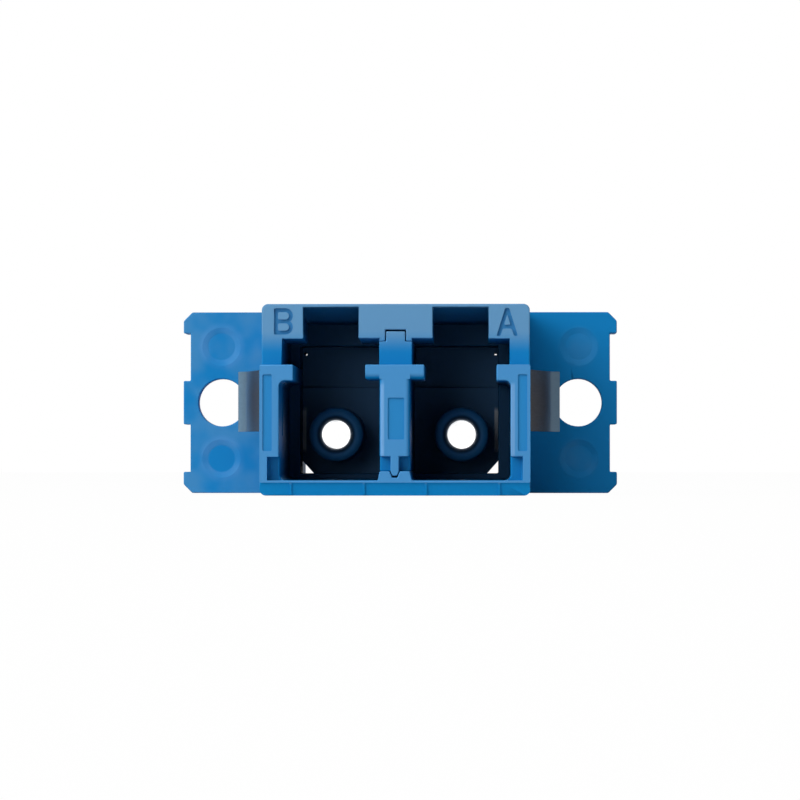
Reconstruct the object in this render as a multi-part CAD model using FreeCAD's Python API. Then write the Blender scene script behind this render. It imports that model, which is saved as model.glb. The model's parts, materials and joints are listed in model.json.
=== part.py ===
import FreeCAD
import Part
import math
import os

# Duplex fibre adapter: two plug ports at each end of a flanged body, held in a panel by sprung clips.
# X runs across the ports, Y runs from the lettered end (-Y) to the far end (+Y), and Z is up.
# The origin is midway between the screw holes, on the flange face that meets the panel.

# Body and flange
BODY_WIDTH = 12.9
BODY_HEIGHT = 9.21
BODY_CORNER_RADIUS = 0.3
NEAR_LENGTH = 11.0
TOTAL_LENGTH = 27.5
FLANGE_WIDTH = 21.9
FLANGE_HEIGHT = 9.14
FLANGE_THICKNESS = 2.0
FLANGE_CORNER_CUT = 0.44
FLANGE_NOTCH_DEPTH = 0.354
FLANGE_NOTCH_Z = (1.1, 3.5)
SCREW_PITCH = 18.0
SCREW_HOLE_DIAMETER = 2.4
SCREW_RELIEF_DIAMETER = 2.64
PIN_MARK_DIAMETERS = (1.94, 1.34)
PIN_MARK_DEPTH = 0.06
PIN_MARK_PLACE = (9.03, 2.83)

# Plug ports, as seen from the lettered end
PORT_PITCH = 6.25
PORT_OUTER_X = 5.52
PORT_FLOOR_Z = -3.88
PORT_CORNER_RADIUS = 0.28
LEDGE_INNER_X = 4.845
LEDGE_UNDER_Z = 0.875
LEDGE_TOP_Z = 1.636
UPPER_SETBACK = 1.9
WIDE_X = (0.79, 5.48)
SHOULDER_DEPTH = 4.9
SHOULDER_FRONT_Z = 2.944
SHOULDER_BACK_Z = 2.81
LATCH_SLOT_WIDTH = 2.665
LATCH_ROOF_FRONT_Z = 4.44
LATCH_ROOF_BACK_Z = 3.9
LATCH_ROOF_RAMP = 2.7
DEEP_START_Y = -1.5
NEAR_DEEP_CORNER = (4.96, -3.57)
FAR_DEEP_CORNER = (5.3, -3.75)
MOUTH_BEVEL = 0.05
STRIP_HEIGHT = 0.62
STRIP_DEPTHS = (0.08, 0.3)
STRIP_RIB_X = (1.48, 4.97)
STRIP_RIB_WIDTH = 0.1
STRIP_RIB_DEPTHS = (0.02, 0.22)
CORNER_POCKET_X = (5.4, 6.09)
CORNER_POCKET_Z = (-3.88, -2.75)
CORNER_POCKET_DEPTH = 0.8
SIDE_PANEL_X = (5.86, 6.3)
SIDE_PANEL_Z = (-2.48, 1.17)
SIDE_PANEL_DEPTH = 0.06

# Divider between the two ports and its guides in the shell
DIVIDER_HALF_WIDTH = 0.72
DIVIDER_BAR_HALF_WIDTH = 1.405
DIVIDER_BAR_UNDER_Z = 0.954
DIVIDER_BAR_DEPTH = 5.0
DIVIDER_TOP_Z = 2.8
DIVIDER_FRONT_BOTTOM_Z = -2.74
DIVIDER_FRONT_POCKET = 0.8
DIVIDER_FRONT_RADIUS = 0.2
DIVIDER_PANEL_X = (-0.33, 0.45)
DIVIDER_PANEL_Z = (-1.93, 0.06)
DIVIDER_PANEL_DEPTH = 0.06
TOP_TONGUE_HALF_WIDTH = 0.46
TOP_TONGUE_Z = 3.28
TOP_GUIDE_HALF_WIDTH = 0.5
TOP_GUIDE_TOP_Z = 3.36
KEEL_HALF_WIDTH = 0.2
KEEL_TIP_HALF_WIDTH = 0.11
KEEL_TIP_Z = -3.66
FOOT_TOP_Z = -3.44
FOOT_BASE_HALF_WIDTH = 0.81
GROOVE_HALF_WIDTH = 0.24
GROOVE_FLOOR_HALF_WIDTH = 0.12
GROOVE_FLOOR_Z = -3.75

# Sleeve holders and alignment sleeves
HOLDER_HALF_WIDTH = 5.4
HOLDER_Z = (-3.85, 3.15)
HOLDER_ROOM = 0.05
HOLDER_STEP_Z = 0.78
HOLDER_STEP_DEPTH = 0.5
HOLDER_GAP_LEGS = (0.55, 0.62)
HOLDER_WINDOW_SIZE = 0.2
HOLDER_WINDOW_PLACE = (4.84, 2.5)
BORE_Z = -1.63
TUBE_RADIUS = 1.35
TUBE_NOSE_ROUND = 0.3
TUBE_MOUTH_Y = -2.45
TUBE_MOUTH_RADIUS = 0.71
TUBE_MOUTH_LAND = 0.05
TUBE_MOUTH_DRAFT = 0.02
SLEEVE_OUTER_RADIUS = 0.81
SLEEVE_INNER_RADIUS = 0.625
SLEEVE_ROOM = 0.02
SLEEVE_SLIT = 0.3

# Panel clips and their seats in the side walls
CLIP_THICKNESS = 0.25
CLIP_HEIGHT = 3.0
CLIP_ROOT = (6.25, -7.75)
CLIP_ROOT_RADIUS = 0.32
CLIP_HOOK_TIP_X = 5.6
CLIP_LIP_BEND = (7.6, -2.85)
CLIP_LIP_RADIUS = 1.4
CLIP_LIP_END = (8.03, -2.5)
CLIP_SEAT_X = 5.8
CLIP_SEAT_Y = (-8.1, -0.9)
CLIP_SEAT_HEIGHT = 3.4
CLIP_SLOT_Y = (-8.0, -7.4)

# Engraved port letters
LETTER_STROKE = 0.19
LETTER_DEPTH = 0.15
LETTER_B_X = (-5.86, -4.95)
LETTER_B_Z = (3.13, 4.4)
LETTER_A_X = (4.85, 5.88)
LETTER_A_Z = (3.06, 4.41)
LETTER_A_BAR_Z = 3.41

# Places that follow from the sizes above
OVERCUT = 0.5
ALIGNED = 1e-6
HALF_WIDTH = BODY_WIDTH / 2
HALF_HEIGHT = BODY_HEIGHT / 2
FRONT_Y = -NEAR_LENGTH
BACK_Y = TOTAL_LENGTH - NEAR_LENGTH
MIDDLE_Y = FRONT_Y + TOTAL_LENGTH / 2
SEAM_Y = FLANGE_THICKNESS / 2
HOLDER_POCKET_Y = (SEAM_Y, 2 * MIDDLE_Y - SEAM_Y)
UPPER_FRONT_Y = FRONT_Y + UPPER_SETBACK
SHOULDER_END_Y = UPPER_FRONT_Y + SHOULDER_DEPTH
PORT_X = PORT_PITCH / 2
LATCH_SLOT_X = (PORT_X - LATCH_SLOT_WIDTH / 2, PORT_X + LATCH_SLOT_WIDTH / 2)
SLEEVE_HALF_LENGTH = MIDDLE_Y - TUBE_MOUTH_Y - SLEEVE_ROOM

ORIGIN = FreeCAD.Vector(0, 0, 0)
ALONG_X = FreeCAD.Vector(1, 0, 0)
ALONG_Y = FreeCAD.Vector(0, 1, 0)
ALONG_Z = FreeCAD.Vector(0, 0, 1)


def block(x_span, y_span, z_span):
    """A block between two limits along each axis."""
    corner = FreeCAD.Vector(x_span[0], y_span[0], z_span[0])
    sizes = [span[1] - span[0] for span in (x_span, y_span, z_span)]
    return Part.makeBox(*sizes, corner)


def centred(half):
    """The span from minus half to plus half."""
    return (-half, half)


def prism(corners, reach):
    """A straight-sided outline pushed along a vector."""
    outline = Part.makePolygon(corners + corners[:1])
    return Part.Face(outline).extrude(reach)


def prism_across(corners_yz, x_span):
    """An outline drawn from the side and pushed across the ports."""
    corners = [FreeCAD.Vector(x_span[0], y, z) for y, z in corners_yz]
    return prism(corners, ALONG_X * (x_span[1] - x_span[0]))


def prism_through(corners_xz, y_span):
    """An outline drawn from the front and pushed through the depth."""
    corners = [FreeCAD.Vector(x, y_span[0], z) for x, z in corners_xz]
    return prism(corners, ALONG_Y * (y_span[1] - y_span[0]))


def rod(x, z, radius, y_span):
    """A round bar along the depth."""
    return Part.makeCylinder(radius, y_span[1] - y_span[0], FreeCAD.Vector(x, y_span[0], z), ALONG_Y)


def both_sides(shape):
    """A shape and its reflection in the plane between the ports."""
    return [shape, shape.mirror(ORIGIN, ALONG_X)]


def at_far_end(shape):
    """The same shape at the other end of the adapter."""
    return shape.mirror(FreeCAD.Vector(0, MIDDLE_Y, 0), ALONG_Y)


def fuse_all(shapes):
    """One shape from several."""
    return shapes[0].multiFuse(shapes[1:])


def with_round_corners(shape, radius):
    """A block with its four edges along the depth rounded."""
    long_edges = []
    for edge in shape.Edges:
        direction = edge.tangentAt(edge.FirstParameter)
        if direction.isParallel(ALONG_Y, ALIGNED):
            long_edges.append(edge)
    return shape.makeFillet(radius, long_edges)


def with_round_front(shape, radius):
    """A block with its two upright edges at the lettered end rounded."""
    front_edges = []
    for edge in shape.Edges:
        direction = edge.tangentAt(edge.FirstParameter)
        if direction.isParallel(ALONG_Z, ALIGNED) and edge.CenterOfMass.y < FRONT_Y + ALIGNED:
            front_edges.append(edge)
    return shape.makeFillet(radius, front_edges)


def lower_port_space():
    """The square room for both plug bodies, with small round corners along it."""
    space = block(centred(PORT_OUTER_X), (FRONT_Y - OVERCUT, DEEP_START_Y), (PORT_FLOOR_Z, LEDGE_UNDER_Z))
    return with_round_corners(space, PORT_CORNER_RADIUS)


def latch_space():
    """The room on the right for a plug's latch: wide notch, narrow slot under a ramp, and catch chamber."""
    notch = prism_across(
        [
            (UPPER_FRONT_Y - OVERCUT, LEDGE_TOP_Z),
            (SHOULDER_END_Y, LEDGE_TOP_Z),
            (SHOULDER_END_Y, SHOULDER_BACK_Z),
            (UPPER_FRONT_Y, SHOULDER_FRONT_Z),
            (UPPER_FRONT_Y - OVERCUT, SHOULDER_FRONT_Z),
        ],
        WIDE_X,
    )
    slot = prism_across(
        [
            (UPPER_FRONT_Y - OVERCUT, LEDGE_TOP_Z),
            (SHOULDER_END_Y, LEDGE_TOP_Z),
            (SHOULDER_END_Y, LATCH_ROOF_BACK_Z),
            (UPPER_FRONT_Y + LATCH_ROOF_RAMP, LATCH_ROOF_BACK_Z),
            (UPPER_FRONT_Y, LATCH_ROOF_FRONT_Z),
            (UPPER_FRONT_Y - OVERCUT, LATCH_ROOF_FRONT_Z),
        ],
        LATCH_SLOT_X,
    )
    chamber = block(WIDE_X, (SHOULDER_END_Y, DEEP_START_Y), (LEDGE_TOP_Z, LATCH_ROOF_BACK_Z))
    return fuse_all([notch, slot, chamber])


def strip_slope(x_span, depths):
    """The wedge that sets the strip under the ports back a little and slopes it towards its lower edge."""
    top_depth, bottom_depth = depths
    top_z = STRIP_HEIGHT - HALF_HEIGHT
    outline = [
        (FRONT_Y, top_z),
        (FRONT_Y + top_depth, top_z),
        (FRONT_Y + bottom_depth, -HALF_HEIGHT),
        (FRONT_Y, -HALF_HEIGHT),
    ]
    return prism_across(outline, x_span)


def mouth_trim():
    """The small bevels, shallow panels and ribbed strip on the front of the body."""
    inner_bevel = prism_across(
        [
            (FRONT_Y, PORT_FLOOR_Z - MOUTH_BEVEL),
            (FRONT_Y, PORT_FLOOR_Z),
            (FRONT_Y + MOUTH_BEVEL, PORT_FLOOR_Z),
        ],
        (FOOT_BASE_HALF_WIDTH, PORT_OUTER_X - PORT_CORNER_RADIUS),
    )
    trims = both_sides(inner_bevel)
    inner_rib_x, outer_rib_x = STRIP_RIB_X
    half_rib = STRIP_RIB_WIDTH / 2
    trims.append(strip_slope(centred(HALF_WIDTH), STRIP_RIB_DEPTHS))
    trims.append(strip_slope(centred(inner_rib_x - half_rib), STRIP_DEPTHS))
    trims += both_sides(strip_slope((inner_rib_x + half_rib, outer_rib_x - half_rib), STRIP_DEPTHS))
    trims += both_sides(strip_slope((outer_rib_x + half_rib, HALF_WIDTH), STRIP_DEPTHS))
    pocket = block(CORNER_POCKET_X, (FRONT_Y, FRONT_Y + CORNER_POCKET_DEPTH), CORNER_POCKET_Z)
    panel = block(SIDE_PANEL_X, (FRONT_Y, FRONT_Y + SIDE_PANEL_DEPTH), SIDE_PANEL_Z)
    return fuse_all(trims + both_sides(pocket) + both_sides(panel))


def end_space(deep_corner):
    """All the room that a port pair takes out of the shell, shaped as at the lettered end."""
    deep_x, deep_floor_z = deep_corner
    front_y = FRONT_Y - OVERCUT
    setback = block(centred(HALF_WIDTH), (front_y, UPPER_FRONT_Y), (LEDGE_TOP_Z, HALF_HEIGHT))
    neck = block(centred(LEDGE_INNER_X), (front_y, DEEP_START_Y), (LEDGE_UNDER_Z, LEDGE_TOP_Z))
    middle = block(centred(WIDE_X[0]), (front_y, SEAM_Y), (LEDGE_TOP_Z, SHOULDER_BACK_Z))
    guide = block(centred(TOP_GUIDE_HALF_WIDTH), (front_y, SEAM_Y), (SHOULDER_BACK_Z, TOP_GUIDE_TOP_Z))
    deep = block(centred(deep_x), (DEEP_START_Y, SEAM_Y), (deep_floor_z, SHOULDER_BACK_Z))
    rooms = [lower_port_space(), setback, neck, middle, guide, deep, mouth_trim()]
    return fuse_all(rooms + both_sides(latch_space()))


def divider_foot():
    """The grooved rib on the port floor that the divider stands on."""
    half = [
        (GROOVE_FLOOR_HALF_WIDTH, GROOVE_FLOOR_Z),
        (GROOVE_HALF_WIDTH, FOOT_TOP_Z),
        (DIVIDER_HALF_WIDTH, FOOT_TOP_Z),
        (FOOT_BASE_HALF_WIDTH, PORT_FLOOR_Z),
    ]
    other_half = [(-x, z) for x, z in reversed(half)]
    return prism_through(half + other_half, (FRONT_Y, DEEP_START_Y))


def dish(x, z):
    """The shallow dish that a mould pin leaves in the flange, flat in its middle."""
    rim_radius, floor_radius = (diameter / 2 for diameter in PIN_MARK_DIAMETERS)
    return Part.makeCone(rim_radius, floor_radius, PIN_MARK_DEPTH, FreeCAD.Vector(x, 0, z), ALONG_Y)


def flange():
    """The screw flange, with notched ends, cut corners, pin marks and holes that widen past the seam."""
    half_w = FLANGE_WIDTH / 2
    half_h = FLANGE_HEIGHT / 2
    near_x = half_w - FLANGE_CORNER_CUT
    near_z = half_h - FLANGE_CORNER_CUT
    corners = [
        (half_w, -near_z),
        (half_w, near_z),
        (near_x, half_h),
        (-near_x, half_h),
        (-half_w, near_z),
        (-half_w, -near_z),
        (-near_x, -half_h),
        (near_x, -half_h),
    ]
    plate = prism_through(corners, (0, FLANGE_THICKNESS))
    through = (-OVERCUT, FLANGE_THICKNESS + OVERCUT)
    cuts = both_sides(rod(SCREW_PITCH / 2, 0, SCREW_HOLE_DIAMETER / 2, through))
    cuts += both_sides(rod(SCREW_PITCH / 2, 0, SCREW_RELIEF_DIAMETER / 2, (SEAM_Y, through[1])))
    for side in (-1, 1):
        notch_z = sorted(side * z for z in FLANGE_NOTCH_Z)
        cuts += both_sides(block((half_w - FLANGE_NOTCH_DEPTH, half_w + OVERCUT), through, notch_z))
        mark_x, mark_z = PIN_MARK_PLACE
        cuts += both_sides(dish(mark_x, side * mark_z))
    return plate.cut(cuts)


def clip_seat():
    """The side recess and hook slot for the right-hand clip."""
    recess = block((CLIP_SEAT_X, HALF_WIDTH + OVERCUT), CLIP_SEAT_Y, centred(CLIP_SEAT_HEIGHT / 2))
    slot = block((PORT_OUTER_X - OVERCUT, CLIP_SEAT_X), CLIP_SLOT_Y, centred(CLIP_SEAT_HEIGHT / 2))
    return recess.fuse(slot)


def letter_b():
    """The left port's letter, as a stem with two round bowls."""
    left, right = LETTER_B_X
    low, high = LETTER_B_Z
    depth = (UPPER_FRONT_Y - OVERCUT, UPPER_FRONT_Y + LETTER_DEPTH)
    bowl_radius = (high - low + LETTER_STROKE) / 4
    centre_x = right - bowl_radius
    strokes = []
    for centre_z in (low + bowl_radius, high - bowl_radius):
        outer = block((left, centre_x), depth, (centre_z - bowl_radius, centre_z + bowl_radius))
        outer = outer.fuse(rod(centre_x, centre_z, bowl_radius, depth))
        inner_radius = bowl_radius - LETTER_STROKE
        inner_z = (centre_z - inner_radius, centre_z + inner_radius)
        inner = block((left + LETTER_STROKE, centre_x), depth, inner_z)
        inner = inner.fuse(rod(centre_x, centre_z, inner_radius, depth))
        strokes.append(outer.cut(inner))
    return fuse_all(strokes)


def letter_a():
    """The right port's letter, as two legs and a bar."""
    left, right = LETTER_A_X
    low, high = LETTER_A_Z
    middle = (left + right) / 2
    half = LETTER_STROKE / 2
    depth = (UPPER_FRONT_Y - OVERCUT, UPPER_FRONT_Y + LETTER_DEPTH)
    strokes = []
    for foot_x in (left + half, right - half):
        leg = [(foot_x - half, low), (foot_x + half, low), (middle + half, high), (middle - half, high)]
        strokes.append(prism_through(leg, depth))
    rise = (LETTER_A_BAR_Z - low) / (high - low)
    reach = (1 - rise) * (middle - left - half)
    bar_z = (LETTER_A_BAR_Z, LETTER_A_BAR_Z + LETTER_STROKE)
    strokes.append(block((middle - reach, middle + reach), depth, bar_z))
    return fuse_all(strokes)


def shell():
    """The whole outer shell before it is parted at the flange's weld seam."""
    body = block(centred(HALF_WIDTH), (FRONT_Y, BACK_Y), centred(HALF_HEIGHT))
    body = with_round_corners(body, BODY_CORNER_RADIUS)
    holder_pocket = block(
        centred(HOLDER_HALF_WIDTH + HOLDER_ROOM),
        HOLDER_POCKET_Y,
        (HOLDER_Z[0], HOLDER_Z[1] + HOLDER_ROOM),
    )
    whole = body.fuse(flange())
    whole = whole.cut([end_space(NEAR_DEEP_CORNER), at_far_end(end_space(FAR_DEEP_CORNER)), holder_pocket])
    whole = whole.multiFuse([divider_foot(), at_far_end(divider_foot())])
    return whole.cut(both_sides(clip_seat()) + [letter_a(), letter_b()]).removeSplitter()


def shell_half(whole, y_span):
    """The part of the shell between two depths."""
    reach = FLANGE_WIDTH
    return whole.common(block(centred(reach), y_span, centred(reach)))


def port_divider():
    """The upright insert between the two ports, with its cross bar, top tongue and keel."""
    end_y = SEAM_Y - HOLDER_ROOM
    wall_front = FRONT_Y + DIVIDER_FRONT_POCKET
    bar_y = (FRONT_Y, FRONT_Y + DIVIDER_BAR_DEPTH)
    front_wall = block(
        centred(DIVIDER_HALF_WIDTH), (FRONT_Y, wall_front), (DIVIDER_FRONT_BOTTOM_Z, DIVIDER_BAR_UNDER_Z)
    )
    front_wall = with_round_front(front_wall, DIVIDER_FRONT_RADIUS)
    wall = block(centred(DIVIDER_HALF_WIDTH), (wall_front, end_y), (FOOT_TOP_Z, LEDGE_TOP_Z))
    bar = block(centred(DIVIDER_BAR_HALF_WIDTH), bar_y, (DIVIDER_BAR_UNDER_Z, LEDGE_TOP_Z))
    upper = block(centred(WIDE_X[0]), (UPPER_FRONT_Y, end_y), (LEDGE_TOP_Z, DIVIDER_TOP_Z))
    tongue = block(centred(TOP_TONGUE_HALF_WIDTH), (UPPER_FRONT_Y, end_y), (DIVIDER_TOP_Z, TOP_TONGUE_Z))
    keel = prism_through(
        [
            (-KEEL_HALF_WIDTH, DIVIDER_FRONT_BOTTOM_Z),
            (-KEEL_HALF_WIDTH, FOOT_TOP_Z),
            (-KEEL_TIP_HALF_WIDTH, KEEL_TIP_Z),
            (KEEL_TIP_HALF_WIDTH, KEEL_TIP_Z),
            (KEEL_HALF_WIDTH, FOOT_TOP_Z),
            (KEEL_HALF_WIDTH, DIVIDER_FRONT_BOTTOM_Z),
        ],
        (FRONT_Y, DEEP_START_Y),
    )
    panel = block(DIVIDER_PANEL_X, (FRONT_Y, FRONT_Y + DIVIDER_PANEL_DEPTH), DIVIDER_PANEL_Z)
    return fuse_all([front_wall, wall, bar, upper, tongue, keel]).cut(panel).removeSplitter()


def sleeve_tube(x):
    """A tube that holds the near half of a sleeve behind a narrower mouth, its nose rounded both ways."""
    bore_radius = SLEEVE_OUTER_RADIUS + SLEEVE_ROOM
    land_radius = TUBE_MOUTH_RADIUS + TUBE_MOUTH_DRAFT
    land_y = TUBE_MOUTH_Y - TUBE_MOUTH_LAND
    crest_radius = TUBE_RADIUS - TUBE_NOSE_ROUND
    mouth_round = crest_radius - land_radius
    nose_y = land_y - mouth_round
    round_end_y = nose_y + TUBE_NOSE_ROUND
    diagonal = math.sqrt(0.5)

    def at(radius, y):
        return FreeCAD.Vector(x + radius, y, BORE_Z)

    outer_round = Part.Arc(
        at(crest_radius, nose_y),
        at(crest_radius + diagonal * TUBE_NOSE_ROUND, round_end_y - diagonal * TUBE_NOSE_ROUND),
        at(TUBE_RADIUS, round_end_y),
    )
    rest = Part.makePolygon(
        [
            at(TUBE_RADIUS, round_end_y),
            at(TUBE_RADIUS, MIDDLE_Y),
            at(bore_radius, MIDDLE_Y),
            at(bore_radius, TUBE_MOUTH_Y),
            at(TUBE_MOUTH_RADIUS, TUBE_MOUTH_Y),
            at(land_radius, land_y),
        ]
    )
    inner_round = Part.Arc(
        at(land_radius, land_y),
        at(crest_radius - diagonal * mouth_round, land_y - diagonal * mouth_round),
        at(crest_radius, nose_y),
    )
    outline = Part.Wire([outer_round.toShape()] + rest.Edges + [inner_round.toShape()])
    return Part.Face(outline).revolve(at(0, 0), ALONG_Y, 360)


def sleeve_holder():
    """The plate that closes the ports, with a tube for each sleeve."""
    gap_x, gap_z = HOLDER_GAP_LEGS
    corner_x, corner_z = NEAR_DEEP_CORNER
    lower = block(centred(HOLDER_HALF_WIDTH), (SEAM_Y, MIDDLE_Y), (HOLDER_Z[0], HOLDER_STEP_Z))
    upper = block(
        centred(HOLDER_HALF_WIDTH),
        (SEAM_Y + HOLDER_STEP_DEPTH, MIDDLE_Y),
        (HOLDER_STEP_Z, HOLDER_Z[1]),
    )
    corner_gap = prism_through(
        [
            (corner_x - 2 * gap_x, corner_z - gap_z),
            (corner_x + gap_x, corner_z + 2 * gap_z),
            (corner_x + gap_x, corner_z - gap_z),
        ],
        (SEAM_Y, MIDDLE_Y),
    )
    window_x, window_z = HOLDER_WINDOW_PLACE
    half = HOLDER_WINDOW_SIZE / 2
    window = block((window_x - half, window_x + half), (SEAM_Y, MIDDLE_Y), (window_z - half, window_z + half))
    bore_radius = SLEEVE_OUTER_RADIUS + SLEEVE_ROOM
    bores = both_sides(rod(PORT_X, BORE_Z, bore_radius, (SEAM_Y, MIDDLE_Y)))
    plate = lower.fuse(upper).cut(both_sides(corner_gap) + both_sides(window) + bores)
    return fuse_all([plate, sleeve_tube(-PORT_X), sleeve_tube(PORT_X)]).removeSplitter()


def split_sleeve(x):
    """A thin ceramic tube, slit along its right side, that lines up two ferrules."""
    y_span = (MIDDLE_Y - SLEEVE_HALF_LENGTH, MIDDLE_Y + SLEEVE_HALF_LENGTH)
    outside = rod(x, BORE_Z, SLEEVE_OUTER_RADIUS, y_span)
    inside = rod(x, BORE_Z, SLEEVE_INNER_RADIUS, y_span)
    half = SLEEVE_SLIT / 2
    slit = block((x, x + TUBE_RADIUS), y_span, (BORE_Z - half, BORE_Z + half))
    return outside.cut([inside, slit])


def rounded_bend(before, corner, after, radius):
    """The start, middle and end of the arc that rounds one corner of a bent strip."""
    to_before = (before - corner).normalize()
    to_after = (after - corner).normalize()
    half_angle = to_before.getAngle(to_after) / 2
    tangent_length = radius / math.tan(half_angle)
    bisector = (to_before + to_after).normalize()
    middle = corner + bisector * (radius / math.sin(half_angle) - radius)
    return corner + to_before * tangent_length, middle, corner + to_after * tangent_length


def panel_clip():
    """The right-hand clip: a spring strip with a hooked root, a flared leaf and a turned-out lip."""
    level = -CLIP_HEIGHT / 2
    root = FreeCAD.Vector(*CLIP_ROOT, level)
    tip = FreeCAD.Vector(CLIP_HOOK_TIP_X, root.y, level)
    bend = FreeCAD.Vector(*CLIP_LIP_BEND, level)
    end = FreeCAD.Vector(*CLIP_LIP_END, level)
    root_arc = rounded_bend(tip, root, bend, CLIP_ROOT_RADIUS)
    lip_arc = rounded_bend(root, bend, end, CLIP_LIP_RADIUS)
    edges = [
        Part.LineSegment(tip, root_arc[0]).toShape(),
        Part.Arc(*root_arc).toShape(),
        Part.LineSegment(root_arc[2], lip_arc[0]).toShape(),
        Part.Arc(*lip_arc).toShape(),
        Part.LineSegment(lip_arc[2], end).toShape(),
    ]
    strip = Part.Wire(edges).makeOffset2D(-CLIP_THICKNESS, fill=True, openResult=True)
    return strip.extrude(ALONG_Z * CLIP_HEIGHT)


def main():
    """Write every piece to its own file."""
    whole_shell = shell()
    right_clip, left_clip = both_sides(panel_clip())
    pieces = {
        "front_housing": shell_half(whole_shell, (FRONT_Y, SEAM_Y)),
        "rear_housing": shell_half(whole_shell, (SEAM_Y, BACK_Y)),
        "front_port_divider": port_divider(),
        "rear_port_divider": at_far_end(port_divider()),
        "front_sleeve_holder": sleeve_holder(),
        "rear_sleeve_holder": at_far_end(sleeve_holder()),
        "sleeve_a": split_sleeve(PORT_X),
        "sleeve_b": split_sleeve(-PORT_X),
        "right_panel_clip": right_clip,
        "left_panel_clip": left_clip,
    }
    os.makedirs("parts", exist_ok=True)
    for name, shape in pieces.items():
        shape.exportStep(os.path.join("parts", name + ".step"))


main()
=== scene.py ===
import json
import math

import bpy
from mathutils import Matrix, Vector

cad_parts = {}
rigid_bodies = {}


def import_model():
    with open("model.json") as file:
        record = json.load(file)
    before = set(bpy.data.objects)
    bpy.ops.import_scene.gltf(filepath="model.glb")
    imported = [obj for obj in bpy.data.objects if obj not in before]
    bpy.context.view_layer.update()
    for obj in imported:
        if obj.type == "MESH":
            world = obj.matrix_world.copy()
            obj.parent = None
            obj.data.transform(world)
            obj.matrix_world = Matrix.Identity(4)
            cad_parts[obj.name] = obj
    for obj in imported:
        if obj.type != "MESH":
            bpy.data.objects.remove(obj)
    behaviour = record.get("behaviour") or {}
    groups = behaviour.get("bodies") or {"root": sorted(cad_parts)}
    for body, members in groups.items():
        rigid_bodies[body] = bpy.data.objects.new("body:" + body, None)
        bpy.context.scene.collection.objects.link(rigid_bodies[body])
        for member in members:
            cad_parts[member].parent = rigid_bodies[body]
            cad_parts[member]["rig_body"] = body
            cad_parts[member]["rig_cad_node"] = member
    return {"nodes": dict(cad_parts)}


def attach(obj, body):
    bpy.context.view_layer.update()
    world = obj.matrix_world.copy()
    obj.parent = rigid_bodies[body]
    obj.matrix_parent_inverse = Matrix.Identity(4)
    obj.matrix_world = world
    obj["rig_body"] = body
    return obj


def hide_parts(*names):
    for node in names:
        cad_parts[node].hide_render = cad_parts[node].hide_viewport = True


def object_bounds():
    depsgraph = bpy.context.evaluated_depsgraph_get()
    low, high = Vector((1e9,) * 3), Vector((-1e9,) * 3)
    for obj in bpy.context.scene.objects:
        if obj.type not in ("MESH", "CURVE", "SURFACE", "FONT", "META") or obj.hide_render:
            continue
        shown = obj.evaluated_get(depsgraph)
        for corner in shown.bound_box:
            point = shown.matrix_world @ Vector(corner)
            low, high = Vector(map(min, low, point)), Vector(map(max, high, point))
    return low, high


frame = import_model()
cad_low, cad_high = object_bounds()

# Lengths below are in millimetres, and MM turns them into the scene's metres.
MM = 0.001

# The middle of the adapter along its ports, and its two sides
MIDDLE_Y = 2.75
LEFT = -1
RIGHT = 1

# The camera that took the photograph, and the point at the middle of its picture
CAMERA_PLACE = (4.31, -188.0, -3.0)
CAMERA_AIM = (0.0, 0.0, 0.13)
PICTURE_SIZE = 800
FOCAL_PIXELS = 3722
SENSOR_WIDTH = 36.0
NEAREST_SEEN = 10

# How far each piece's sharp edges are rounded and in how many steps, how many times as wide the faces beside
# them have to be, and where along an edge that is measured
MOULDED_EDGE = 0.06
INSERT_EDGE = 0.05
STAMPED_EDGE = 0.03
EDGE_STEPS = 2
NARROWEST = 2.6
SAMPLE_SHARES = (0.1, 0.5, 0.9)

# From which angle an edge is sharp, within which angles faces are one flat face or shade as one, and how
# close two points are that count as one
SHARP_ANGLE = math.radians(30)
FLAT_ANGLE = math.radians(0.5)
SMOOTH_ANGLE = math.radians(50)
MERGE_GAP = 0.0005

# The divider's crossbar: its underside, the reach of its wings, the rounding of their lower front edges, and
# which end of the adapter each divider is at
BAR_UNDER_Z = 0.954
BAR_WING_X = (0.73, 1.60)
BAR_END_DEPTH = 13.75
BAR_ROUNDING = 0.28
BAR_ROUNDING_CORNERS = 64
BAR_ENDS = {"front_port_divider": -1, "rear_port_divider": 1}

# The windows in the holders: their middle, how far from it their corners are at most, and the share of
# its size that the window at each side keeps
HOLDERS = ("front_sleeve_holder", "rear_sleeve_holder")
WINDOW_PLACE = (4.84, 2.5)
WINDOW_REACH = 0.11
WINDOW_SHARES = ((LEFT, 0.8), (RIGHT, 0.6))

# Dished rims: how gently they slope, and how many corners the flat face around them has at least
RIM_ANGLES = (math.radians(4), math.radians(13))
RIM_CORNERS = 9

# Moulded plastic: its blues, the colours of its painted sheen, highlights, light and shade, its flow clouds
# and its spark-eroded grain
SHELL_DEEP = (0.000, 0.177, 0.453, 1)
SHELL_LIGHT = (0.001, 0.199, 0.493, 1)
END_FACE_SHEEN = (0.055, 0.245, 0.520, 1)
LETTER_FACE_SHEEN = (0.105, 0.270, 0.470, 1)
BLOOM_AND_SHEEN = (0.042, 0.225, 0.475, 1)
MARK_RIM_SHEEN = (0.070, 0.255, 0.545, 1)
SCUFF_PALE = (0.012, 0.210, 0.500, 1)
STRIP_PAINTED_LIGHT = (0.001, 0.230, 0.560, 1)
EDGE_HIGHLIGHT = (0.125, 0.315, 0.590, 1)
PORT_SHADE = (0.001, 0.055, 0.145, 1)
HOLDER_DEEP = (0.024, 0.105, 0.245, 1)
HOLDER_LIGHT = (0.036, 0.130, 0.290, 1)
NOSE_BLUE = (0.016, 0.125, 0.300, 1)
MOUTH_SHADE = (0.004, 0.030, 0.070, 1)
SLIT_LEAK_LIGHT = (0.480, 0.540, 0.600, 1)
CLOUDS_PER_MM = 0.25
CLOUD_DETAIL = 2.0
GRAIN_PER_MM = 14.0
GRAIN_DETAIL = 3.0
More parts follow.
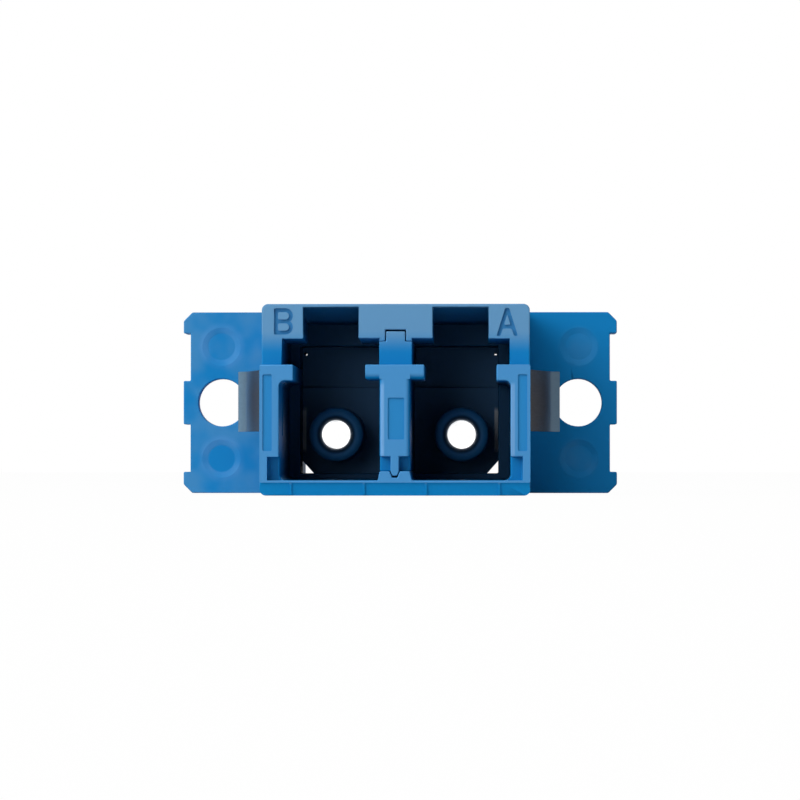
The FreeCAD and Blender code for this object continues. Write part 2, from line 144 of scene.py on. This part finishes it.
GRAIN_ROUGHNESS = (0.42, 0.55)
GRAIN_DEPTH = 0.004
GRAIN_STRENGTH = 0.35
PLASTIC_SPECULAR = 0.12

# Where the shell's ends carry painted light: painted sheen on their outermost faces and on the upper set-back
# faces with the letters, painted light on the low strip under the ports, and painted highlights on two port
# edges
END_FACE_DEPTH = (13.658, 13.745)
LETTER_FACE_DEPTH = (11.62, 11.82)
LETTER_FACE_Z = (2.2, 3.4)
STRIP_DEPTH = (13.2, 13.35)
STRIP_Z = (-3.95, -4.0)
HIGHLIGHT_DEPTH = (13.62, 13.70)
HIGHLIGHT_X = (-0.60, 5.62)
HIGHLIGHT_REACH_X = (0.13, 0.06)
HIGHLIGHT_MIDDLE_Z = -1.0
HIGHLIGHT_REACH_Z = (1.85, 1.6)

# The flange: its place, the blooms on its left ear, partly a painted sheen, and the painted sheen on the rims
# and the faint patches of its four pin marks
FLANGE_MIDDLE_Y = 1.0
FLANGE_REACH_Y = (1.3, 1.15)
FLANGE_FRONT_Y = (0.5, 0.3)
BLOOM_REACH_X = (-6.50, -6.60)
BLOOMS_PER_MM = 0.5
BLOOM_LEVELS = (0.30, 0.66)
MARK_PLACE = (9.03, 2.83)
MARK_INSIDE = (0.62, 0.74)
MARK_OUTSIDE = (1.30, 0.95)
MARK_SHARES = (0.15, 0.75)
MARK_MIDDLE = (0.80, 0.55)
LOWER_MARK_Z = (0.5, -0.5)
FAINT_MARK = (1.15, 0.80)
FAINT_REACH_X = (6.5, 6.6)
FAINT_SHARE = 0.42

# The body's outer faces: their place, how much of the blooms they show, and their scuffs along the ports
OUTER_X = (6.40, 6.43)
OUTER_Z = (4.56, 4.59)
OUTER_SHARE = 0.25
SCUFFS_PER_MM = 0.7
SCUFF_DETAIL = 3.0
SCUFF_STRETCH = (5.0, 0.35, 5.0)
SCUFF_LEVELS = (0.60, 0.80)

# Where the shell gets painted shade: the smooth walls deep in the ports, and the latch slots above them
UPPER_Z = (1.5, 1.7)
UPPER_SETBACK = 1.9
DEEP_WALL_DEPTH = (13.4, 7.0)
DEEP_WALL_X = (5.75, 5.7)
DEEP_WALL_Z = (4.5, 4.45)
LATCH_X = 3.125
LATCH_REACH_X = (1.38, 1.34)
LATCH_Z = (3.0, 3.3)
LATCH_SHADE = 0.75

# The holder: where its tubes' noses start, their middle, where painted shade darkens their mouths, and its
# two slits of painted light
NOSE_DEPTH = (4.9, 5.3)
TUBE_PLACE = (3.125, -1.63)
MOUTH_RADIUS = (1.02, 0.85)
SLIT_PLACE = (4.88, -1.37)
SLIT_REACH_X = (0.15, 0.06)
SLIT_REACH_Z = (1.2, 0.9)

# Ceramic sleeves, which glow white of themselves as a painted light
CERAMIC_WARM = (0.92, 0.92, 0.90, 1)
CERAMIC_CLEAR = (0.97, 0.97, 0.96, 1)
CERAMIC_ROUGHNESS = (0.03, 0.06)
CERAMIC_IOR = 2.1
CERAMIC_TRANSMISSION = 0.8
CERAMIC_GLOW = 0.35
SPECKLES_PER_MM = 3.0
SPECKLE_DETAIL = 2.0

# Spring strip: a painted dark reflection along the leaf, a painted bright reflection on the lip, and painted
# shade on the right-hand clip
LEAF_DARK_REFLECTION = (0.070, 0.075, 0.085, 1)
LEAF_GREY_REFLECTION = (0.110, 0.118, 0.130, 1)
LIP_REFLECTION_GREY = (0.180, 0.310, 0.440, 1)
LIP_REFLECTION_BRIGHT = (0.240, 0.390, 0.540, 1)
LIP_X = (7.1, 7.65)
RIGHT_CLIP_SHADE = (0.034, 0.018, 0.008, 1)
RIGHT_CLIP_SHADE_SHARES = (0.95, 0.35)
RIGHT_CLIP_SHADE_X = (-1.0, 1.0)
STREAKS_PER_MM = 1.0
STREAK_DETAIL = 4.0
STREAK_STRETCH = (6.0, 0.6, 12.0)
STREAK_ROUGHNESS = (0.30, 0.42)
STREAK_DEPTH = 0.003
STREAK_STRENGTH = 0.3

# The studio: how bright the room is, where it darkens behind the camera, and where the backdrop starts
WHITE = (1, 1, 1, 1)
ROOM_STRENGTH = (0.05, 0.38)
DARK_SIDE_Y = (-0.96, -0.4)
BACKDROP_Y = (0.90, 0.97)
FLOOR_RADIUS = 400
FLOOR_DROP = 0.02
FLOOR_CORNERS = 64
FLOOR_GREY = (0.55, 0.55, 0.55, 1)
FLOOR_ROUGHNESS = 0.9
FLOOR_GLOW = 0.98
FLOOR_MIRRORED = 0.3

# The softboxes: name, place, size and power
SOFTBOXES = (
    ("key_light", (-210, -170, 150), 220, 0.75),
    ("top_light", (-20, -130, 250), 200, 0.3),
    ("front_light", (-50, -195, 30), 60, 0.05),
)

# Numbers of the sockets that share one name on the nodes that mix colours and shaders
FIRST_COLOUR = 6
SECOND_COLOUR = 7
MIXED_COLOUR = 2
FIRST_SHADER = 1
SECOND_SHADER = 2


def deselect_everything():
    """Nothing selected, so that the next operator acts on one piece only."""
    bpy.ops.object.select_all(action="DESELECT")


def make_active(piece):
    """One piece selected and active."""
    deselect_everything()
    piece.select_set(True)
    bpy.context.view_layer.objects.active = piece


def new_finish(name):
    """A new node material, with its shader ready to be wired."""
    finish = bpy.data.materials.new(name)
    finish.use_nodes = True
    tree = finish.node_tree
    shader = tree.nodes["Principled BSDF"]
    return finish, tree, shader


def object_place(tree):
    """The point on the surface in the piece's own metres."""
    return tree.nodes.new("ShaderNodeTexCoord").outputs["Object"]


def in_millimetres(tree, place):
    """The three coordinates of a point, in millimetres."""
    apart = tree.nodes.new("ShaderNodeSeparateXYZ")
    tree.links.new(place, apart.inputs["Vector"])
    return [product(tree, coordinate, 1 / MM) for coordinate in apart.outputs]


def noise(tree, place, per_mm, detail, stretch=(1.0, 1.0, 1.0)):
    """Cloudy noise with so many cells to the millimetre, stretched along an axis where asked."""
    mapping = tree.nodes.new("ShaderNodeMapping")
    mapping.inputs["Scale"].default_value = stretch
    tree.links.new(place, mapping.inputs["Vector"])
    texture = tree.nodes.new("ShaderNodeTexNoise")
    texture.inputs["Scale"].default_value = per_mm / MM
    texture.inputs["Detail"].default_value = detail
    tree.links.new(mapping.outputs["Vector"], texture.inputs["Vector"])
    return texture.outputs["Fac"]


def between(tree, value, low, high):
    """A 0 to 1 value turned into the range from low to high."""
    span = tree.nodes.new("ShaderNodeMapRange")
    span.inputs["To Min"].default_value = low
    span.inputs["To Max"].default_value = high
    tree.links.new(value, span.inputs["Value"])
    return span.outputs["Result"]


def step_up(tree, value, start, end):
    """0 before start, 1 past end and smooth between, where end may also be the lower of the two."""
    span = tree.nodes.new("ShaderNodeMapRange")
    span.interpolation_type = "SMOOTHSTEP"
    span.inputs["From Min"].default_value = start
    span.inputs["From Max"].default_value = end
    tree.links.new(value, span.inputs["Value"])
    return span.outputs["Result"]


def opposite(tree, share):
    """1 where a share is 0, and 0 where it is 1."""
    return step_up(tree, share, 1, 0)


def arithmetic(tree, operation, *values):
    """One step of arithmetic on numbers or sockets."""
    step = tree.nodes.new("ShaderNodeMath")
    step.operation = operation
    for socket, value in zip(step.inputs, values):
        if isinstance(value, (int, float)):
            socket.default_value = value
        else:
            tree.links.new(value, socket)
    return step.outputs["Value"]


def product(tree, first, second):
    """One value times another."""
    return arithmetic(tree, "MULTIPLY", first, second)


def larger(tree, first, second):
    """The larger of two values."""
    return arithmetic(tree, "MAXIMUM", first, second)


def distance(tree, value, centre):
    """How far a value is from a centre, either way."""
    return arithmetic(tree, "ABSOLUTE", arithmetic(tree, "SUBTRACT", value, centre))


def from_spot(tree, sideways, upwards, spot):
    """How far a point is from a spot, seen along the ports."""
    legs = [distance(tree, value, centre) for value, centre in zip((sideways, upwards), spot)]
    squares = arithmetic(tree, "ADD", *[product(tree, leg, leg) for leg in legs])
    return arithmetic(tree, "SQRT", squares)


def blend_colours(tree, share, first, second):
    """A colour between two others, which are values or sockets."""
    mix = tree.nodes.new("ShaderNodeMix")
    mix.data_type = "RGBA"
    tree.links.new(share, mix.inputs["Factor"])
    for number, colour in ((FIRST_COLOUR, first), (SECOND_COLOUR, second)):
        if isinstance(colour, tuple):
            mix.inputs[number].default_value = colour
        else:
            tree.links.new(colour, mix.inputs[number])
    return mix.outputs[MIXED_COLOUR]


def bump(tree, shader, height, depth_mm, strength):
    """Fine relief of a real depth on the shader's normal."""
    relief = tree.nodes.new("ShaderNodeBump")
    relief.inputs["Distance"].default_value = depth_mm * MM
    relief.inputs["Strength"].default_value = strength
    tree.links.new(height, relief.inputs["Height"])
    tree.links.new(relief.outputs["Normal"], shader.inputs["Normal"])


def moulded_plastic(name, deep, light, local_tones):
    """Satin moulded plastic: slow flow clouds, tones of its own in places, and a fine spark-eroded grain."""
    finish, tree, shader = new_finish(name)
    place = object_place(tree)
    colour = blend_colours(tree, noise(tree, place, CLOUDS_PER_MM, CLOUD_DETAIL), deep, light)
    tree.links.new(local_tones(tree, place, colour), shader.inputs["Base Color"])
    grain = noise(tree, place, GRAIN_PER_MM, GRAIN_DETAIL)
    tree.links.new(between(tree, grain, *GRAIN_ROUGHNESS), shader.inputs["Roughness"])
    shader.inputs["Specular IOR Level"].default_value = PLASTIC_SPECULAR
    bump(tree, shader, grain, GRAIN_DEPTH, GRAIN_STRENGTH)
    return finish


def end_tones(tree, colour, across, up, to_end):
    """Painted sheen on end and letter faces, painted light on the strip under the ports, painted highlights
    on two edges.
    """
    # painted sheen on the outermost end faces
    end_face_sheen = step_up(tree, to_end, *END_FACE_DEPTH)
    colour = blend_colours(tree, end_face_sheen, colour, END_FACE_SHEEN)
    # painted sheen on the upper set-back letter faces, paler towards the top
    letter_face_sheen = product(tree, step_up(tree, to_end, *LETTER_FACE_DEPTH), step_up(tree, up, *LETTER_FACE_Z))
    colour = blend_colours(tree, letter_face_sheen, colour, LETTER_FACE_SHEEN)
    # painted light that brightens the low sloped strip under the ports
    strip = product(tree, step_up(tree, to_end, *STRIP_DEPTH), step_up(tree, up, *STRIP_Z))
    colour = blend_colours(tree, product(tree, strip, opposite(tree, end_face_sheen)), colour, STRIP_PAINTED_LIGHT)
    # painted highlights along two port edges
    beside_edges = [step_up(tree, distance(tree, across, edge), *HIGHLIGHT_REACH_X) for edge in HIGHLIGHT_X]
    painted_highlight = product(tree, larger(tree, *beside_edges), step_up(tree, to_end, *HIGHLIGHT_DEPTH))
    highlight_height = step_up(tree, distance(tree, up, HIGHLIGHT_MIDDLE_Z), *HIGHLIGHT_REACH_Z)
    return blend_colours(tree, product(tree, painted_highlight, highlight_height), colour, EDGE_HIGHLIGHT)


def flange_tones(tree, place, colour, outer, on_flange):
    """Blooms, partly a painted sheen, on the left ear and faintly on the outer faces, painted sheen on the
    pin marks' rims, and their patches.
    """
    across, along, up = in_millimetres(tree, place)
    # the blooms on the left ear are partly a painted sheen, kept to the lit ear
    left_ear = product(tree, on_flange, step_up(tree, across, *BLOOM_REACH_X))
    flange_front = product(tree, on_flange, step_up(tree, along, *FLANGE_FRONT_Y))
    blooms = step_up(tree, noise(tree, place, BLOOMS_PER_MM, CLOUD_DETAIL), *BLOOM_LEVELS)
    from_mark = from_spot(tree, distance(tree, across, 0), distance(tree, up, 0), MARK_PLACE)
    lower_mark = product(tree, step_up(tree, from_mark, *MARK_MIDDLE), step_up(tree, up, *LOWER_MARK_Z))
    faint_mark = product(tree, step_up(tree, from_mark, *FAINT_MARK), step_up(tree, across, *FAINT_REACH_X))
    faint_mark = product(tree, product(tree, faint_mark, flange_front), FAINT_SHARE)
    bloom_and_sheen_share = larger(tree, product(tree, left_ear, opposite(tree, lower_mark)), faint_mark)
    bloom_and_sheen_share = larger(tree, bloom_and_sheen_share, product(tree, outer, OUTER_SHARE))
    colour = blend_colours(tree, product(tree, bloom_and_sheen_share, blooms), colour, BLOOM_AND_SHEEN)
    # painted sheen on the rims of the pin marks on the left ear
    rim_sheen = product(tree, step_up(tree, from_mark, *MARK_INSIDE), step_up(tree, from_mark, *MARK_OUTSIDE))
    rim_sheen = product(tree, rim_sheen, between(tree, blooms, *MARK_SHARES))
    left_rim_sheen = product(tree, rim_sheen, product(tree, left_ear, flange_front))
    return blend_colours(tree, left_rim_sheen, colour, MARK_RIM_SHEEN)


def painted_port_shade(tree, colour, outwards, up, to_end):
    """Painted shade on the walls deep in the ports and in the latch slots."""
    from_middle = distance(tree, up, 0)
    within = product(tree, step_up(tree, outwards, *DEEP_WALL_X), step_up(tree, from_middle, *DEEP_WALL_Z))
    from_latch = distance(tree, outwards, LATCH_X)
    latch_slot = product(tree, step_up(tree, from_latch, *LATCH_REACH_X), step_up(tree, up, *LATCH_Z))
    setback = product(tree, step_up(tree, up, *UPPER_Z), UPPER_SETBACK)
    deep_wall_shade = step_up(tree, arithmetic(tree, "ADD", to_end, setback), *DEEP_WALL_DEPTH)
    # painted shade on the walls deep in the ports and in the latch slots
    deep = larger(tree, deep_wall_shade, product(tree, latch_slot, LATCH_SHADE))
    return blend_colours(tree, product(tree, within, deep), colour, PORT_SHADE)


def shell_tones(tree, place, colour):
    """The shell's colour with the painted light of its ends, the blooms and painted sheen of its flange, its
    scuffed outer faces and the painted shade of its ports.
    """
    across, along, up = in_millimetres(tree, place)
    to_end = distance(tree, along, MIDDLE_Y)
    outwards = distance(tree, across, 0)
    on_flange = step_up(tree, distance(tree, along, FLANGE_MIDDLE_Y), *FLANGE_REACH_Y)
    outer = larger(tree, step_up(tree, outwards, *OUTER_X), step_up(tree, distance(tree, up, 0), *OUTER_Z))
    outer = product(tree, outer, opposite(tree, on_flange))
    colour = end_tones(tree, colour, across, up, to_end)
    colour = flange_tones(tree, place, colour, outer, on_flange)
    scuffs = step_up(tree, noise(tree, place, SCUFFS_PER_MM, SCUFF_DETAIL, SCUFF_STRETCH), *SCUFF_LEVELS)
    colour = blend_colours(tree, product(tree, outer, scuffs), colour, SCUFF_PALE)
    return painted_port_shade(tree, colour, outwards, up, to_end)


def holder_tones(tree, place, colour):
    """The holder's colour, bluer on its tubes' noses, with painted shade inside their mouths and painted
    light at two thin slits.
    """
    across, along, up = in_millimetres(tree, place)
    nose = step_up(tree, distance(tree, along, MIDDLE_Y), *NOSE_DEPTH)
    colour = blend_colours(tree, nose, colour, NOSE_BLUE)
    outwards = distance(tree, across, 0)
    slit_x, slit_z = SLIT_PLACE
    # painted light leaking through two thin slits
    beside_slit = step_up(tree, distance(tree, outwards, slit_x), *SLIT_REACH_X)
    slit_leak_light = product(tree, beside_slit, step_up(tree, distance(tree, up, slit_z), *SLIT_REACH_Z))
    colour = blend_colours(tree, slit_leak_light, colour, SLIT_LEAK_LIGHT)
    # painted shade inside the tubes' mouths
    mouth_shade = step_up(tree, from_spot(tree, outwards, up, TUBE_PLACE), *MOUTH_RADIUS)
    return blend_colours(tree, product(tree, nose, mouth_shade), colour, MOUTH_SHADE)


def zirconia():
    """Polished translucent ceramic, which carries some light through its wall and also glows white as a
    painted light.
    """
    finish, tree, shader = new_finish("zirconia")
    place = object_place(tree)
    speckle = noise(tree, place, SPECKLES_PER_MM, SPECKLE_DETAIL)
    colour = blend_colours(tree, speckle, CERAMIC_WARM, CERAMIC_CLEAR)
    tree.links.new(colour, shader.inputs["Base Color"])
    tree.links.new(between(tree, speckle, *CERAMIC_ROUGHNESS), shader.inputs["Roughness"])
    shader.inputs["IOR"].default_value = CERAMIC_IOR
    shader.inputs["Transmission Weight"].default_value = CERAMIC_TRANSMISSION
    # the sleeves glow white of themselves, a painted light
    shader.inputs["Emission Color"].default_value = WHITE
    shader.inputs["Emission Strength"].default_value = CERAMIC_GLOW
    return finish


def spring_steel():
    """Rolled strip with fine streaks along its length, a painted dark reflection on the leaf, a painted
    bright reflection on the lip, and painted shade on the right-hand clip.
    """
    finish, tree, shader = new_finish("spring_steel")
    place = object_place(tree)
    across = in_millimetres(tree, place)[0]
    streaks = noise(tree, place, STREAKS_PER_MM, STREAK_DETAIL, STREAK_STRETCH)
    # the leaf's dark colours are a painted dark reflection, and the lip's blue-grey a painted bright
    # reflection
    leaf = blend_colours(tree, streaks, LEAF_DARK_REFLECTION, LEAF_GREY_REFLECTION)
    lip = blend_colours(tree, streaks, LIP_REFLECTION_GREY, LIP_REFLECTION_BRIGHT)
    painted_highlight = step_up(tree, distance(tree, across, 0), *LIP_X)
    # painted shade on the right-hand clip
    right_clip_shade = product(tree, step_up(tree, across, *RIGHT_CLIP_SHADE_X), between(tree, painted_highlight, *RIGHT_CLIP_SHADE_SHARES))
    colour = blend_colours(tree, right_clip_shade, blend_colours(tree, painted_highlight, leaf, lip), RIGHT_CLIP_SHADE)
    tree.links.new(colour, shader.inputs["Base Color"])
    shader.inputs["Metallic"].default_value = 1.0
    tree.links.new(between(tree, streaks, *STREAK_ROUGHNESS), shader.inputs["Roughness"])
    bump(tree, shader, streaks, STREAK_DEPTH, STREAK_STRENGTH)
    return finish


def edit_merged():
    """The active piece goes into edit mode, wholly selected, with its coincident points merged."""
    bpy.ops.object.mode_set(mode="EDIT")
    bpy.ops.mesh.select_all(action="SELECT")
    bpy.ops.mesh.remove_doubles(threshold=MERGE_GAP)


def carve(piece, tool):
    """One shape is cut out of a piece, and is deleted."""
    make_active(piece)
    cut = piece.modifiers.new("cut", "BOOLEAN")
    cut.operation = "DIFFERENCE"
    cut.solver = "EXACT"
    cut.object = tool
    bpy.ops.object.modifier_apply(modifier=cut.name)
    make_active(tool)
    bpy.ops.object.delete()


def round_wings(piece, end):
    """The lower front edges of the crossbar's two wings are rounded, at one end of the adapter."""
    inner_x, outer_x = BAR_WING_X
    edge_y = MIDDLE_Y + end * BAR_END_DEPTH
    for side in (LEFT, RIGHT):
        middle_x = side * (inner_x + outer_x) / 2
        deselect_everything()
        bpy.ops.mesh.primitive_cube_add(
            size=1,
            location=(middle_x, edge_y, BAR_UNDER_Z),
            scale=(outer_x - inner_x, 2 * BAR_ROUNDING, 2 * BAR_ROUNDING),
        )
        cutter = bpy.context.active_object
        deselect_everything()
        bpy.ops.mesh.primitive_cylinder_add(
            vertices=BAR_ROUNDING_CORNERS,
            radius=BAR_ROUNDING,
            depth=2 * outer_x,
            location=(middle_x, edge_y - end * BAR_ROUNDING, BAR_UNDER_Z + BAR_ROUNDING),
            rotation=(0, math.pi / 2, 0),
        )
        carve(cutter, bpy.context.active_object)
        carve(piece, cutter)
    make_active(piece)


def narrow_windows(piece):
    """The two windows of a holder let less light through."""
    window_x, window_z = WINDOW_PLACE
    for side, share in WINDOW_SHARES:
        middle = Vector((side * window_x, MIDDLE_Y, window_z))
        bpy.ops.object.mode_set(mode="EDIT")
        bpy.ops.mesh.select_all(action="DESELECT")
        bpy.ops.object.mode_set(mode="OBJECT")
        for corner in piece.data.vertices:
            offset = corner.co - middle
            corner.select = max(abs(offset.x), abs(offset.z)) < WINDOW_REACH
        bpy.ops.object.mode_set(mode="EDIT")
        bpy.ops.transform.resize(value=(share, 1, share), center_override=middle)
        bpy.ops.object.mode_set(mode="OBJECT")


def room_beside(corners, normal, index):
    """How far a flat face reaches inwards from one of its edges before it meets another of its edges."""
    start = corners[index]
    end = corners[(index + 1) % len(corners)]
    along = (end - start).normalized()
    inward = normal.cross(along)
    flat = [((corner - start).dot(along), (corner - start).dot(inward)) for corner in corners]
    length = (end - start).length
    nearest = math.inf
    for share in SAMPLE_SHARES:
        foot = share * length
        for other in range(len(flat)):
            u_start, v_start = flat[other]
            u_end, v_end = flat[(other + 1) % len(flat)]
            if other == index or (u_start > foot) == (u_end > foot):
                continue
            height = v_start + (v_end - v_start) * (foot - u_start) / (u_end - u_start)
            if height > MERGE_GAP:
                nearest = min(nearest, height)
    return nearest


def soft_edge_weights(piece, width):
    """Every sharp edge is marked for rounding, apart from those beside a face too narrow for it."""
    mesh = piece.data
    sides = {}
    for face in mesh.polygons:
        corners = [mesh.vertices[index].co for index in face.vertices]
        for index, key in enumerate(face.edge_keys):
            sides.setdefault(key, []).append((face.normal, room_beside(corners, face.normal, index)))
    weights = mesh.attributes.new("bevel_weight_edge", "FLOAT", "EDGE")
    for edge in mesh.edges:
        faces = sides.get(edge.key, [])
        if len(faces) != 2:
            continue
        (first_normal, first_room), (second_normal, second_room) = faces
        sharp = first_normal.angle(second_normal, 0.0) >= SHARP_ANGLE
        if sharp and min(first_room, second_room) > NARROWEST * width:
            weights.data[edge.index].value = 1.0


def round_edges(piece, width):
    """The sharp edges that have room for it are rounded, and slivers that this leaves are taken out."""
    soft_edge_weights(piece, width)
    rounding = piece.modifiers.new("edge_rounding", "BEVEL")
    rounding.limit_method = "WEIGHT"
    rounding.width = width
    rounding.segments = EDGE_STEPS
    rounding.use_clamp_overlap = False
    bpy.ops.object.modifier_apply(modifier=rounding.name)
    edit_merged()
    bpy.ops.mesh.dissolve_degenerate(threshold=MERGE_GAP)
    bpy.ops.object.mode_set(mode="OBJECT")


def keep_flats_flat(piece):
    """Rounded edges shade smoothly into faces that stay flat, and gently sloped rims keep their own shade."""
    bpy.ops.object.shade_smooth_by_angle(angle=SMOOTH_ANGLE)
    mesh = piece.data
    gentlest, steepest = RIM_ANGLES
    sides = {}
    for face in mesh.polygons:
        for key in face.edge_keys:
            sides.setdefault(key, []).append(face)
    for edge in mesh.edges:
        faces = sides.get(edge.key, [])
        if len(faces) != 2 or max(len(face.vertices) for face in faces) < RIM_CORNERS:
            continue
        first, second = faces
        if gentlest < first.normal.angle(second.normal, 0.0) < steepest:
            edge.use_edge_sharp = True
    flats = piece.modifiers.new("flat_faces", "WEIGHTED_NORMAL")
    flats.keep_sharp = True
    bpy.ops.object.modifier_apply(modifier=flats.name)


def softened(node, body, finish, width):
    """A merged copy of one CAD piece, with its sharp edges rounded where asked, standing for that piece."""
    make_active(frame["nodes"][node])
    bpy.ops.object.duplicate()
    piece = bpy.context.active_object
    piece.name = node + "_moulding"
    piece.parent = None
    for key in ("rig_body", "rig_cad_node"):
        del piece[key]
    make_active(piece)
    piece.scale = (1 / MM,) * 3
    bpy.ops.object.transform_apply(location=False, rotation=False, scale=True)
    bpy.ops.mesh.customdata_custom_splitnormals_clear()
    edit_merged()
    bpy.ops.object.mode_set(mode="OBJECT")
    if node in BAR_ENDS:
        round_wings(piece, BAR_ENDS[node])
    if node in HOLDERS:
        narrow_windows(piece)
    edit_merged()
    bpy.ops.mesh.dissolve_limited(angle_limit=FLAT_ANGLE)
    bpy.ops.object.mode_set(mode="OBJECT")
    if width:
        round_edges(piece, width)
    keep_flats_flat(piece)
    piece.scale = (MM,) * 3
    bpy.ops.object.transform_apply(location=False, rotation=False, scale=True)
    piece.data.materials.clear()
    piece.data.materials.append(finish)
    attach(piece, body)
    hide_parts(node)


def white_surroundings():
    """White where the camera looks; for light and reflections a dim room, darkest behind the camera."""
    world = bpy.data.worlds.new("studio")
    bpy.context.scene.world = world
    world.use_nodes = True
    tree = world.node_tree
    backdrop = tree.nodes["Background"]
    backdrop.inputs["Color"].default_value = WHITE
    apart = tree.nodes.new("ShaderNodeSeparateXYZ")
    tree.links.new(tree.nodes.new("ShaderNodeTexCoord").outputs["Generated"], apart.inputs["Vector"])
    room = between(tree, step_up(tree, apart.outputs["Y"], *DARK_SIDE_Y), *ROOM_STRENGTH)
    behind = step_up(tree, apart.outputs["Y"], *BACKDROP_Y)
    rays = tree.nodes.new("ShaderNodeLightPath")
    mirrored = product(tree, rays.outputs["Is Glossy Ray"], behind)
    strength = room
    for white in (mirrored, rays.outputs["Is Camera Ray"], rays.outputs["Is Transmission Ray"]):
        strength = larger(tree, strength, white)
    tree.links.new(strength, backdrop.inputs["Strength"])


def pale_floor():
    """A wide white floor under the adapter, which keeps only a breath of its shadow."""
    floor_z = cad_low.z - FLOOR_DROP * MM
    deselect_everything()
    bpy.ops.mesh.primitive_circle_add(
        vertices=FLOOR_CORNERS, radius=FLOOR_RADIUS * MM, fill_type="NGON", location=(0, 0, floor_z)
    )
    floor = bpy.context.active_object
    floor.name = "floor"
    finish, tree, shader = new_finish("floor_white")
    shader.inputs["Base Color"].default_value = FLOOR_GREY
    shader.inputs["Roughness"].default_value = FLOOR_ROUGHNESS
    glow = tree.nodes.new("ShaderNodeEmission")
    glow.inputs["Strength"].default_value = 1.0
    rays = tree.nodes.new("ShaderNodeLightPath")
    mix = tree.nodes.new("ShaderNodeMixShader")
    seen = larger(tree, rays.outputs["Is Camera Ray"], rays.outputs["Is Transmission Ray"])
    mirrored = product(tree, rays.outputs["Is Glossy Ray"], FLOOR_MIRRORED)
    tree.links.new(larger(tree, product(tree, seen, FLOOR_GLOW), mirrored), mix.inputs["Fac"])
    tree.links.new(shader.outputs["BSDF"], mix.inputs[FIRST_SHADER])
    tree.links.new(glow.outputs["Emission"], mix.inputs[SECOND_SHADER])
    tree.links.new(mix.outputs["Shader"], tree.nodes["Material Output"].inputs["Surface"])
    floor.data.materials.append(finish)


def softbox(name, place, size, power):
    """A square studio light aimed at the adapter."""
    deselect_everything()
    bpy.ops.object.light_add(type="AREA", location=Vector(place) * MM)
    light = bpy.context.active_object
    light.name = name
    light.data.size = size * MM
    light.data.energy = power
    light.rotation_mode = "QUATERNION"
    light.rotation_quaternion = (-Vector(place)).to_track_quat("-Z", "Y")


def photograph_camera():
    """The camera at the photograph's place and angle."""
    deselect_everything()
    bpy.ops.object.camera_add(location=Vector(CAMERA_PLACE) * MM)
    camera = bpy.context.active_object
    camera.name = "camera"
    camera.data.sensor_width = SENSOR_WIDTH
    camera.data.lens = FOCAL_PIXELS / PICTURE_SIZE * SENSOR_WIDTH
    camera.data.clip_start = NEAREST_SEEN * MM
    camera.rotation_mode = "QUATERNION"
    camera.rotation_quaternion = (Vector(CAMERA_AIM) - Vector(CAMERA_PLACE)).to_track_quat("-Z", "Y")
    bpy.context.scene.camera = camera


bpy.context.scene.view_settings.view_transform = "Standard"

housing_blue = moulded_plastic("housing_blue", SHELL_DEEP, SHELL_LIGHT, shell_tones)
insert_blue = moulded_plastic("insert_blue", SHELL_DEEP, SHELL_LIGHT, shell_tones)
holder_blue = moulded_plastic("holder_blue", HOLDER_DEEP, HOLDER_LIGHT, holder_tones)
ceramic = zirconia()
steel = spring_steel()

for node, body, slot, finish, width in (
    ("front_housing", "adapter_body", "blue_housing", housing_blue, MOULDED_EDGE),
    ("rear_housing", "adapter_body", "blue_housing", housing_blue, MOULDED_EDGE),
    ("front_port_divider", "adapter_body", "blue_insert", insert_blue, INSERT_EDGE),
    ("rear_port_divider", "adapter_body", "blue_insert", insert_blue, INSERT_EDGE),
    ("front_sleeve_holder", "adapter_body", "deep_blue_holder", holder_blue, INSERT_EDGE),
    ("rear_sleeve_holder", "adapter_body", "deep_blue_holder", holder_blue, INSERT_EDGE),
    ("sleeve_a", "adapter_body", "white_ceramic", ceramic, None),
    ("sleeve_b", "adapter_body", "white_ceramic", ceramic, None),
    ("right_panel_clip", "right_clip", "spring_steel", steel, STAMPED_EDGE),
    ("left_panel_clip", "left_clip", "spring_steel", steel, STAMPED_EDGE),
):
    softened(node, body, finish, width)

white_surroundings()
pale_floor()
for name, place, size, power in SOFTBOXES:
    softbox(name, place, size, power)
photograph_camera()
